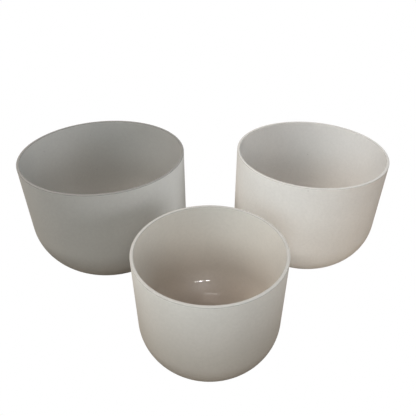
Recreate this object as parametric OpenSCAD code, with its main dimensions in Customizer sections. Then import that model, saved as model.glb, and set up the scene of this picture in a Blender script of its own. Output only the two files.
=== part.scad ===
// A graduated set of three open crucibles in one pale, matt ceramic.
// Each is a single shell of revolution: a straight wall, one large round
// corner, a small flat base, and a narrow flat rim with softened edges.
// They stand apart on one level surface at z = 0, the smallest in front (-Y),
// and the origin is the middle of the ground that the whole set covers.

/* [Small crucible] */
// Outside diameter of the small crucible
small_d = 229; // [180:1:285]
// Height of the small crucible, from base to rim
small_h = 207; // [160:1:280]
// Outside radius of the round corner between its wall and base
small_corner_r = 77; // [50:1:88]
// Thickness of its side wall
small_wall = 5; // [3.5:0.1:8]
// Thickness of its bottom
small_floor = 6; // [3.5:0.1:12]

/* [Medium crucible] */
// Outside diameter of the medium crucible
medium_d = 285; // [225:1:350]
// Height of the medium crucible, from base to rim
medium_h = 229; // [180:1:310]
// Outside radius of the round corner between its wall and base
medium_corner_r = 96; // [60:1:110]
// Thickness of its side wall
medium_wall = 5; // [3.5:0.1:8]
// Thickness of its bottom
medium_floor = 6; // [3.5:0.1:12]

/* [Large crucible] */
// Outside diameter of the large crucible
large_d = 305; // [245:1:370]
// Height of the large crucible, from base to rim
large_h = 230; // [180:1:310]
// Outside radius of the round corner between its wall and base
large_corner_r = 103; // [65:1:120]
// Thickness of its side wall
large_wall = 5; // [3.5:0.1:8]
// Thickness of its bottom
large_floor = 6; // [3.5:0.1:12]

/* [Rim] */
// Radius that softens the outer and inner edge of every rim
rim_edge_r = 1.2; // [0.4:0.1:1.6]

/* [Arrangement] */
// Clear gap between the small and the large crucible
small_large_gap = 60; // [20:1:150]
// Clear gap between the small and the medium crucible
small_medium_gap = 77; // [20:1:150]
// Clear gap between the large and the medium crucible
large_medium_gap = 102; // [20:1:150]
// Turn of the back pair about the vertical: above 0, the medium one stands further back
back_pair_turn = 2.6; // [-20:0.1:20]

/* [Hidden] */
// Segments in a full turn of every round surface
round_fn = 180;

// Distances between centres: touching distance plus the clear gap
small_large = (small_d + large_d) / 2 + small_large_gap;
small_medium = (small_d + medium_d) / 2 + small_medium_gap;
large_medium = (large_d + medium_d) / 2 + large_medium_gap;

// Centres measured from the large crucible, by the cosine rule on that triangle
corner_at_large = acos((small_large ^ 2 + large_medium ^ 2 - small_medium ^ 2)
                       / (2 * small_large * large_medium));
from_large = [
    [0, 0],
    large_medium * heading(back_pair_turn),
    small_large * heading(back_pair_turn - corner_at_large)
];
radii = [large_d, medium_d, small_d] / 2;

// Middle of the ground that the three cover, along X and along Y
middle = [for (axis = [0, 1]) (lowest(axis) + highest(axis)) / 2];
large_at = from_large[0] - middle;
medium_at = from_large[1] - middle;
small_at = from_large[2] - middle;

function heading(turn) = [cos(turn), sin(turn)];
function lowest(axis) = min([for (i = [0 : 2]) from_large[i][axis] - radii[i]]);
function highest(axis) = max([for (i = [0 : 2]) from_large[i][axis] + radii[i]]);

// Half section of a solid cup from z = 0: flat base, round corner, straight side
module cup_half(r, h, corner_r) {
    square([r - corner_r, h]);
    translate([0, corner_r])
        square([r, h - corner_r]);
    translate([r - corner_r, corner_r])
        intersection() {
            circle(corner_r, $fn = round_fn);
            translate([0, -corner_r])
                square(corner_r);
        }
}

// Half section of the top of a wall: a flat land between two rounded edges
module rim_half(r, h, wall) {
    for (edge = [r - wall + rim_edge_r, r - rim_edge_r])
        translate([edge, h - rim_edge_r])
            circle(rim_edge_r, $fn = round_fn);
    translate([r - wall + rim_edge_r, h - 2 * rim_edge_r])
        square([wall - 2 * rim_edge_r, 2 * rim_edge_r]);
}

// One crucible: its shell turned about a vertical axis at the place "at"
module crucible(at, d, h, corner_r, wall, floor_t) {
    r = d / 2;
    translate([at[0], at[1], 0])
        rotate_extrude($fn = round_fn) {
            difference() {
                cup_half(r, h - rim_edge_r, corner_r);
                translate([0, floor_t])
                    cup_half(r - wall, h, corner_r - wall);
            }
            rim_half(r, h, wall);
        }
}

module large_crucible()
    color([0.60, 0.59, 0.57])
        crucible(large_at, large_d, large_h, large_corner_r, large_wall, large_floor);

module medium_crucible()
    color([0.80, 0.79, 0.76])
        crucible(medium_at, medium_d, medium_h, medium_corner_r, medium_wall, medium_floor);

module small_crucible()
    color([0.72, 0.70, 0.67])
        crucible(small_at, small_d, small_h, small_corner_r, small_wall, small_floor);

large_crucible();
medium_crucible();
small_crucible();
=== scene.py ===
"""A graduated set of three pale ceramic crucibles on a plain white floor."""
import math

import bmesh
import bpy
from mathutils import Matrix, Vector


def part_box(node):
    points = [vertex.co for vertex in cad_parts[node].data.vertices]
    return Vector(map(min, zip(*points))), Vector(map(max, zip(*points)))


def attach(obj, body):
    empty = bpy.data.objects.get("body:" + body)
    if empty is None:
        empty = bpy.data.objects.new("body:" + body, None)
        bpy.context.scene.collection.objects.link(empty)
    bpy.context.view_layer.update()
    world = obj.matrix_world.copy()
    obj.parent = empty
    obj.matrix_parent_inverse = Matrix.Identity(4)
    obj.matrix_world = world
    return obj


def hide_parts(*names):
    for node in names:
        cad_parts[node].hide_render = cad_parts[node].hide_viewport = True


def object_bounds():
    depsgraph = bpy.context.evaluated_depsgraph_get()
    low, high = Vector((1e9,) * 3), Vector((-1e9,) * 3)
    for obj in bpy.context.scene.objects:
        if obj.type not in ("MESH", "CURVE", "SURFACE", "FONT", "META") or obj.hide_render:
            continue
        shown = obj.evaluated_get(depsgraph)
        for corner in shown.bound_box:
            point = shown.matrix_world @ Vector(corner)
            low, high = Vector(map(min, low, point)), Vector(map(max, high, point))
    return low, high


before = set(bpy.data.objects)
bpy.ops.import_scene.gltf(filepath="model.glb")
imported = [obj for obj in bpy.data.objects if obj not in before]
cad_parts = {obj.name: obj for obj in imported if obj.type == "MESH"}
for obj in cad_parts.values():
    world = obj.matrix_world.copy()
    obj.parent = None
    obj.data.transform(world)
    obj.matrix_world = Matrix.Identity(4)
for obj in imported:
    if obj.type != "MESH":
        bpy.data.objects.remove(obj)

cad_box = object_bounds()

# ---------------------------------------------------------------- sizes, in metres
WALL = 0.005
FLOOR = 0.006
RIM_EDGE = 0.0012
TURN_STEPS = 192    # faces round each vessel
ARC_STEPS = 44      # faces along the big corner
WALL_STEPS = 26     # faces up the straight wall
EDGE_STEPS = 8      # faces over each softened rim edge
BASE_STEPS = 8      # rings on the flat base and floor
ON_AXIS = 1e-9      # a ring of a smaller radius is one point
OUTSIDE, RIM, INSIDE = 0, 1, 2    # order of the finishes on each shell

# corner: outer radius of the big bottom corner. tone and tone_in: colours outside and inside.
# painted_base_shade_out and painted_base_shade_in: painted shade, what those colours are multiplied by
# near the base, so that each vessel is darker and warmer towards its bottom.
# rim: what the outside's colour is multiplied by on the rim.
# coat: weight and roughness of the glaze inside.
VESSELS = {
    "large_crucible": {
        "corner": 0.103, "slot": "grey_ceramic", "rim": 0.45, "coat": (0.20, 0.12),
        "tone": (0.356, 0.350, 0.335), "painted_base_shade_out": (1.0, 0.98, 0.95),
        "tone_in": (0.335, 0.329, 0.316), "painted_base_shade_in": (1.0, 0.97, 0.94),
    },
    "medium_crucible": {
        "corner": 0.096, "slot": "pale_ceramic", "rim": 0.70, "coat": (0.20, 0.12),
        "tone": (0.645, 0.635, 0.614), "painted_base_shade_out": (1.0, 0.97, 0.93),
        "tone_in": (0.605, 0.600, 0.590), "painted_base_shade_in": (1.0, 0.96, 0.92),
    },
    "small_crucible": {
        "corner": 0.077, "slot": "warm_ceramic", "rim": 0.63, "coat": (0.35, 0.024),
        "tone": (0.546, 0.538, 0.516), "painted_base_shade_out": (0.53, 0.48, 0.43),
        "tone_in": (0.556, 0.540, 0.506), "painted_base_shade_in": (0.86, 0.80, 0.76),
    },
}


# ---------------------------------------------------------------- shapes
def arc(centre_r, centre_z, radius, start, end, steps):
    """Points (r, z) on an arc; angles in degrees from the outward direction, up positive."""
    angles = [math.radians(start + (end - start) * i / steps) for i in range(steps + 1)]
    return [(centre_r + radius * math.cos(a), centre_z + radius * math.sin(a)) for a in angles]


def line(start, end, steps):
    """Points from start up to, but not including, end."""
    return [tuple(a + (b - a) * i / steps for a, b in zip(start, end)) for i in range(steps)]


def vessel_section(radius, height, corner):
    """Three runs of (r, z) points: outside from the base's centre, rim, inside to the floor's."""
    flat = radius - corner
    inner = radius - WALL
    inner_corner = corner - WALL
    lip = height - RIM_EDGE
    outside = line((0.0, 0.0), (flat, 0.0), BASE_STEPS)
    outside += arc(flat, corner, corner, -90, 0, ARC_STEPS)[:-1]
    outside += line((radius, corner), (radius, lip), WALL_STEPS)
    rim = arc(radius - RIM_EDGE, lip, RIM_EDGE, 0, 90, EDGE_STEPS)
    rim += arc(inner + RIM_EDGE, lip, RIM_EDGE, 90, 180, EDGE_STEPS)
    inside = line((inner, lip), (inner, FLOOR + inner_corner), WALL_STEPS)[1:]
    inside += arc(flat, FLOOR + inner_corner, inner_corner, 0, -90, ARC_STEPS)
    inside += line((flat, FLOOR), (0.0, FLOOR), BASE_STEPS)[1:] + [(0.0, FLOOR)]
    return outside, rim, inside


def stand_point(node):
    """The middle of the disc that a vessel stands on."""
    low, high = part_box(node)
    return Vector(((low.x + high.x) / 2, (low.y + high.y) / 2, low.z))


def turned_rings(mesh, section, foot):
    """A ring of points round the vessel's axis for each point of the section, or one on the axis."""
    rings = []
    for r, z in section:
        steps = 1 if r < ON_AXIS else TURN_STEPS
        turns = [2 * math.pi * i / TURN_STEPS for i in range(steps)]
        places = [foot + Vector((r * math.cos(turn), r * math.sin(turn), z)) for turn in turns]
        rings.append([mesh.verts.new(place) for place in places])
    return rings


def skin(mesh, low_ring, high_ring, finish):
    """The faces between two neighbouring rings."""
    for i in range(TURN_STEPS):
        j = (i + 1) % TURN_STEPS
        if len(low_ring) == 1:
            corners = (low_ring[0], high_ring[j], high_ring[i])
        elif len(high_ring) == 1:
            corners = (low_ring[i], low_ring[j], high_ring[0])
        else:
            corners = (low_ring[i], low_ring[j], high_ring[j], high_ring[i])
        face = mesh.faces.new(corners)
        face.smooth = True
        face.material_index = finish


def build_vessel(node, corner, materials):
    """Turns the section about the node's own axis into one closed mesh with three finishes."""
    low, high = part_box(node)
    outside, rim, inside = vessel_section((high.x - low.x) / 2, high.z - low.z, corner)
    rim_from = len(outside)
    inside_from = len(outside) + len(rim) - 1
    mesh = bmesh.new()
    rings = turned_rings(mesh, outside + rim + inside, stand_point(node))
    for k, (ring, next_ring) in enumerate(zip(rings, rings[1:])):
        finish = OUTSIDE if k < rim_from else RIM if k < inside_from else INSIDE
        skin(mesh, ring, next_ring, finish)
    bmesh.ops.recalc_face_normals(mesh, faces=mesh.faces)
    data = bpy.data.meshes.new(node + "_shell")
    mesh.to_mesh(data)
    mesh.free()
    piece = bpy.data.objects.new(node + "_shell", data)
    bpy.context.scene.collection.objects.link(piece)
    for material in materials:
        data.materials.append(material)
    return piece


# ---------------------------------------------------------------- materials
PAINTED_SHADE_FROM = 0.03    # height up to which a surface keeps its full painted shade near the base
PAINTED_SHADE_TO = 0.20      # height from which the painted shade is gone and the surface has its own tone
CLOUDS_PER_METRE = 11.0
WAVES_PER_METRE = 70.0
MOTTLES_PER_METRE = 210.0
CELLS_PER_METRE = 52.0         # cells that may each hold one speck
CLEAN_SHARE = 0.90             # share of those cells that stay clean
SPECK_EDGE = (0.030, 0.055)    # where a speck's edge begins and ends, in cells
SPECK_TONE = 0.62              # a speck's tone, as a share of the tone round it
NOISE_RANGE = (0.3, 0.7)       # where nearly all of a noise's values lie
WAVE_RELIEF = 0.8              # depth of the slow waves, as a share of the fine grain's
GRAIN_SPREAD = 0.05            # how far the grain moves the roughness each way
CERAMIC_IOR = 1.46
NO_COAT = (0.0, 0.3)
# a base multiplier of 1: no painted shade, the surface keeps its own tone all over
NO_PAINTED_SHADE = (1.0, 1.0, 1.0)

# grain: fine grains per metre. bump: strength and depth of the relief.
FROSTED = {"roughness": 0.86, "grain": 620.0, "bump": (0.35, 0.0005)}
RIM_FINISH = {"roughness": 0.62, "grain": 620.0, "bump": (0.2, 0.0003)}
SATIN = {"roughness": 0.52, "grain": 420.0, "bump": (0.12, 0.0003)}


class Nodes:
    """Short calls for building one material's node tree."""

    def __init__(self, name):
        self.material = bpy.data.materials.new(name)
        self.material.use_nodes = True
        self.tree = self.material.node_tree
        self.tree.nodes.clear()

    def add(self, kind, values=None, **settings):
        node = self.tree.nodes.new(kind)
        for key, value in settings.items():
            setattr(node, key, value)
        for key, value in (values or {}).items():
            node.inputs[key].default_value = value
        return node

    def link(self, source, target):
        self.tree.links.new(source, target)

    def noise(self, where, scale, detail=3.0, roughness=0.55):
        values = {"Scale": scale, "Detail": detail, "Roughness": roughness}
        node = self.add("ShaderNodeTexNoise", values)
        self.link(where, node.inputs["Vector"])
        return node.outputs["Fac"]

    def ramp(self, source, low, high, to_low, to_high):
        """Maps low..high onto to_low..to_high, and holds the ends."""
        values = {"From Min": low, "From Max": high, "To Min": to_low, "To Max": to_high}
        node = self.add("ShaderNodeMapRange", values)
        self.link(source, node.inputs["Value"])
        return node.outputs["Result"]

    def maths(self, operation, a, b):
        node = self.add("ShaderNodeMath", operation=operation)
        for socket, value in zip(node.inputs, (a, b)):
            if isinstance(value, (int, float)):
                socket.default_value = value
            else:
                self.link(value, socket)
        return node.outputs["Value"]

    def blend(self, low, high, share):
        """One colour at share 0 and another at share 1."""
        node = self.add("ShaderNodeMixRGB")
        node.inputs["Color1"].default_value = (*low, 1.0)
        node.inputs["Color2"].default_value = (*high, 1.0)
        self.link(share, node.inputs["Fac"])
        return node.outputs["Color"]

    def tinted(self, colour, factor):
        """A colour multiplied by a factor that varies over the surface."""
        node = self.add("ShaderNodeVectorMath", operation="SCALE")
        self.link(colour, node.inputs[0])
        self.link(factor, node.inputs["Scale"])
        return node.outputs["Vector"]

    def surface(self, shader):
        """Ends the tree in this shader and gives back the finished material."""
        out = self.add("ShaderNodeOutputMaterial")
        self.link(shader, out.inputs["Surface"])
        return self.material


def tone_with_painted_shade(n, place, tone, painted_base_shade):
    """The tone of a surface by height, with painted shade: multiplied by painted_base_shade low down,
    plain from PAINTED_SHADE_TO up.
    """
    height = n.add("ShaderNodeSeparateXYZ")
    n.link(place, height.inputs["Vector"])
    unshaded_share = n.ramp(height.outputs["Z"], PAINTED_SHADE_FROM, PAINTED_SHADE_TO, 0.0, 1.0)
    # painted shade: the tone multiplied darker and warmer low down, near the base
    painted_shade_tone = [a * b for a, b in zip(tone, painted_base_shade)]
    return n.blend(painted_shade_tone, tone, unshaded_share)


def specks(n, place):
    """1 in small sparse spots and 0 between them."""
    cells = n.add("ShaderNodeTexVoronoi", {"Scale": CELLS_PER_METRE, "Randomness": 1.0})
    n.link(place, cells.inputs["Vector"])
    chosen = n.add("ShaderNodeSeparateColor")
    n.link(cells.outputs["Color"], chosen.inputs["Color"])
    rare = n.maths("GREATER_THAN", chosen.outputs["Red"], CLEAN_SHARE)
    near = n.ramp(cells.outputs["Distance"], *SPECK_EDGE, 1.0, 0.0)
    return n.maths("MULTIPLY", rare, near)


def ceramic(name, finish, tone, painted_base_shade=NO_PAINTED_SHADE, lightness=1.0, coat=NO_COAT):
    """A fired ceramic surface: cloudy, mottled and specked, with grain in relief and roughness, and
    painted shade towards the base.
    """
    n = Nodes(name)
    place = n.add("ShaderNodeTexCoord").outputs["Object"]
    clouds = n.ramp(n.noise(place, CLOUDS_PER_METRE, 2.0), *NOISE_RANGE, 0.975, 1.02)
    mottle = n.ramp(n.noise(place, MOTTLES_PER_METRE, 4.0), *NOISE_RANGE, 0.97, 1.03)
    specked = n.ramp(specks(n, place), 0.0, 1.0, lightness, lightness * SPECK_TONE)
    factor = n.maths("MULTIPLY", n.maths("MULTIPLY", clouds, mottle), specked)
    fine = n.noise(place, finish["grain"], 3.0, 0.6)
    waves = n.noise(place, WAVES_PER_METRE, 2.0)
    relief = n.maths("ADD", fine, n.maths("MULTIPLY", waves, WAVE_RELIEF))
    strength, depth = finish["bump"]
    bump = n.add("ShaderNodeBump", {"Strength": strength, "Distance": depth})
    n.link(relief, bump.inputs["Height"])
    weight, blur = coat
    values = {"IOR": CERAMIC_IOR, "Coat Weight": weight, "Coat Roughness": blur}
    shader = n.add("ShaderNodeBsdfPrincipled", values)
    smoothest = finish["roughness"] - GRAIN_SPREAD
    roughest = finish["roughness"] + GRAIN_SPREAD
    n.link(n.tinted(tone_with_painted_shade(n, place, tone, painted_base_shade), factor), shader.inputs["Base Color"])
    n.link(n.ramp(fine, *NOISE_RANGE, smoothest, roughest), shader.inputs["Roughness"])
    n.link(bump.outputs["Normal"], shader.inputs["Normal"])
    return n.surface(shader.outputs["BSDF"])


def finishes(node, facts):
    """The three finishes of a vessel: frosted outside, rim, satin inside; outside and inside carry
    painted shade near the base.
    """
    tone = facts["tone"]
    return (
        ceramic(node + "_frosted", FROSTED, tone, facts["painted_base_shade_out"]),
        ceramic(node + "_rim", RIM_FINISH, tone, lightness=facts["rim"]),
        ceramic(node + "_satin", SATIN, facts["tone_in"], facts["painted_base_shade_in"], coat=facts["coat"]),
    )


# ---------------------------------------------------------------- the three vessels
ALONE = {}    # one collection for each vessel, for the lamps that light nothing else
for node_name, vessel in VESSELS.items():
    shell = build_vessel(node_name, vessel["corner"], finishes(node_name, vessel))
    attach(shell, node_name)
    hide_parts(node_name)
    ALONE[node_name] = bpy.data.collections.new("light_on_" + node_name)
    ALONE[node_name].objects.link(shell)

# ---------------------------------------------------------------- floor
FLOOR_HALF = 12.0
FLOOR_DROP = 0.0002    # keeps the floor's face apart from the bases


def floor_material():
    """Plain white to the eye, and a warm pale grey in the light it throws back."""
    n = Nodes("floor_paper")
    rays = n.add("ShaderNodeLightPath")
    warm = n.add("ShaderNodeBsdfDiffuse", {"Color": (0.32, 0.265, 0.215, 1.0)})
    white = n.add("ShaderNodeEmission", {"Color": (1.0, 1.0, 1.0, 1.0), "Strength": 1.0})
    seen = n.add("ShaderNodeMixShader")
    n.link(rays.outputs["Is Camera Ray"], seen.inputs["Fac"])
    n.link(warm.outputs["BSDF"], seen.inputs[1])
    n.link(white.outputs["Emission"], seen.inputs[2])
    return n.surface(seen.outputs["Shader"])


def build_floor(height):
    """One wide flat square."""
    signs = ((-1, -1), (1, -1), (1, 1), (-1, 1))
    corners = [(x * FLOOR_HALF, y * FLOOR_HALF, height) for x, y in signs]
    data = bpy.data.meshes.new("floor")
    data.from_pydata(corners, [], [(0, 1, 2, 3)])
    data.materials.append(floor_material())
    square = bpy.data.objects.new("floor", data)
    bpy.context.scene.collection.objects.link(square)
    return square


floor = build_floor(cad_box[0].z - FLOOR_DROP)

# ---------------------------------------------------------------- light
SKY_STRENGTH = 0.03    # what the sky sheds on the vessels; to the camera it is white
BOX_SIZE = 0.9
BOX_DISTANCE = 2.0
AIM_HEIGHT = 0.12      # half the height of the tallest vessel, nearly


def build_sky():
    """A world that is white to the camera and faint in the light it gives."""
    world = bpy.data.worlds.new("studio")
    bpy.context.scene.world = world
    world.use_nodes = True
    sky = world.node_tree
    glow = sky.nodes["Background"]
    glow.inputs["Color"].default_value = (1.0, 1.0, 1.0, 1.0)
    rays = sky.nodes.new("ShaderNodeLightPath")
    strength = sky.nodes.new("ShaderNodeMapRange")
    strength.inputs["To Min"].default_value = SKY_STRENGTH
    sky.links.new(rays.outputs["Is Camera Ray"], strength.inputs["Value"])
    sky.links.new(strength.outputs["Result"], glow.inputs["Strength"])


def place_lamp(lamp, spot, target):
    """Stands a lamp at a spot and turns its face to the target."""
    lamp.location = spot
    lamp.rotation_euler = (spot - target).to_track_quat("Z", "Y").to_euler()


def area_lamp(name, size, power, colour, only=None):
    """A soft box; with only, its light falls on that vessel alone."""
    data = bpy.data.lights.new(name, "AREA")
    data.size = size
    data.energy = power
    data.color = colour
    lamp = bpy.data.objects.new(name, data)
    bpy.context.scene.collection.objects.link(lamp)
    if only:
        lamp.light_linking.receiver_collection = ALONE[only]
    return lamp


def studio_box(name, azimuth, elevation, power, colour, only=None):
    """A wide soft box; azimuth in degrees from +X, counter-clockwise from above."""
    lamp = area_lamp(name, BOX_SIZE, power, colour, only)
    a, e = math.radians(azimuth), math.radians(elevation)
    away = Vector((math.cos(a) * math.cos(e), math.sin(a) * math.cos(e), math.sin(e)))
    place_lamp(lamp, MIDDLE + away * BOX_DISTANCE, MIDDLE)


def near_lamp(name, size, power, colour, only, spot, target):
    """A small lamp close to one vessel, left out of its reflections."""
    lamp = area_lamp(name, size, power, colour, only)
    place_lamp(lamp, spot, target)
    lamp.visible_glossy = False


def glint_lamp(name, spot, wide, tall, power):
    """A card inside the small crucible that shows only as a reflection and lights nothing."""
    lamp = area_lamp(name, wide, power, CARD_COLOUR, "small_crucible")
    lamp.data.shape = "RECTANGLE"
    lamp.data.size_y = tall
    lamp.data.spread = math.radians(CARD_SPREAD)
    lamp.visible_diffuse = False
    lamp.visible_camera = False
    place_lamp(lamp, SMALL_STAND + Vector(spot), SMALL_STAND + GLAZE_SPOT)
    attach(lamp, "small_crucible")


build_sky()
low_corner, high_corner = cad_box
MIDDLE = Vector(((low_corner.x + high_corner.x) / 2, (low_corner.y + high_corner.y) / 2, AIM_HEIGHT))
studio_box("window_left", 180, 52, 27.0, (1.0, 0.91, 0.81))
studio_box("window_back_left", 150, 52, 14.0, (1.0, 0.92, 0.88))
studio_box("window_back_right", 30, 52, 19.0, (0.93, 0.98, 1.0))
studio_box("fill_front_left", 210, 30, 7.0, (0.70, 0.90, 1.0))
studio_box("fill_front", 270, 30, 10.0, (0.85, 0.97, 1.0))
studio_box("fill_front_high", 270, 52, 5.5, (1.0, 0.85, 0.80))
studio_box("large_side", 335, 8, 25.0, (0.95, 0.97, 1.0), "large_crucible")
studio_box("large_front", 300, 52, 8.0, (1.0, 0.98, 0.88), "large_crucible")
studio_box("medium_side", 300, 8, 9.0, (1.0, 0.75, 0.55), "medium_crucible")
studio_box("small_front", 265, 30, 10.0, (0.98, 0.92, 0.84), "small_crucible")
studio_box("small_side", 20, 8, 15.0, (1.0, 0.90, 0.80), "small_crucible")

GAP_SPOT = MIDDLE + Vector((0.12, 0.02, 0.28))       # above the medium vessel's near left rim
FRONT_SPOT = MIDDLE + Vector((0.10, -0.80, 0.23))    # in front of the set, a little to the right
LARGE_MIDDLE = stand_point("large_crucible") + Vector((0.0, 0.0, AIM_HEIGHT))
near_lamp("large_gap", 0.25, 0.22, (1.0, 0.99, 0.97), "large_crucible", GAP_SPOT, LARGE_MIDDLE)
near_lamp("medium_front", 0.35, 1.9, (0.82, 0.92, 1.0), "medium_crucible", FRONT_SPOT, MIDDLE)
near_lamp("small_low", 0.35, 0.55, (0.88, 0.95, 1.0), "small_crucible", FRONT_SPOT, MIDDLE)

SMALL_STAND = stand_point("small_crucible")
GLAZE_SPOT = Vector((-0.0132, 0.1016, 0.047))    # the highlight's place, from the small vessel's foot
CARD_COLOUR = (0.95, 0.97, 1.0)
CARD_SPREAD = 45.0    # degrees; narrow, so that the far wall mirrors no second image
glint_lamp("glaze_streak", (0.0188, -0.0444, 0.0655), 0.040, 0.0036, 0.0032)
glint_lamp("glaze_sheen", (0.0258, -0.0444, 0.112), 0.086, 0.080, 0.0028)

# ---------------------------------------------------------------- camera
CAMERA_SPOT = (0.0136, -0.6279, 0.5965)
SENSOR = 36.0             # millimetres, as the focal length
FOCAL_LENGTH = 37.07
SHIFT = (-0.0134, 0.0570)
LOOK_DOWN = 36.92         # degrees below the horizon
LOOK_RIGHT = 0.28         # degrees to the right of +Y
ROLL = 0.71               # degrees, counter-clockwise as the camera sees it


def build_camera():
    """The scene's camera, all in focus."""
    data = bpy.data.cameras.new("camera")
    data.sensor_width = SENSOR
    data.lens = FOCAL_LENGTH
    data.shift_x, data.shift_y = SHIFT
    data.dof.use_dof = False
    camera = bpy.data.objects.new("camera", data)
    bpy.context.scene.collection.objects.link(camera)
    camera.matrix_world = (
        Matrix.Translation(CAMERA_SPOT)
        @ Matrix.Rotation(math.radians(-LOOK_RIGHT), 4, "Z")
        @ Matrix.Rotation(math.radians(90 - LOOK_DOWN), 4, "X")
        @ Matrix.Rotation(math.radians(ROLL), 4, "Z")
    )
    bpy.context.scene.camera = camera


build_camera()
bpy.context.scene.view_settings.view_transform = "Standard"
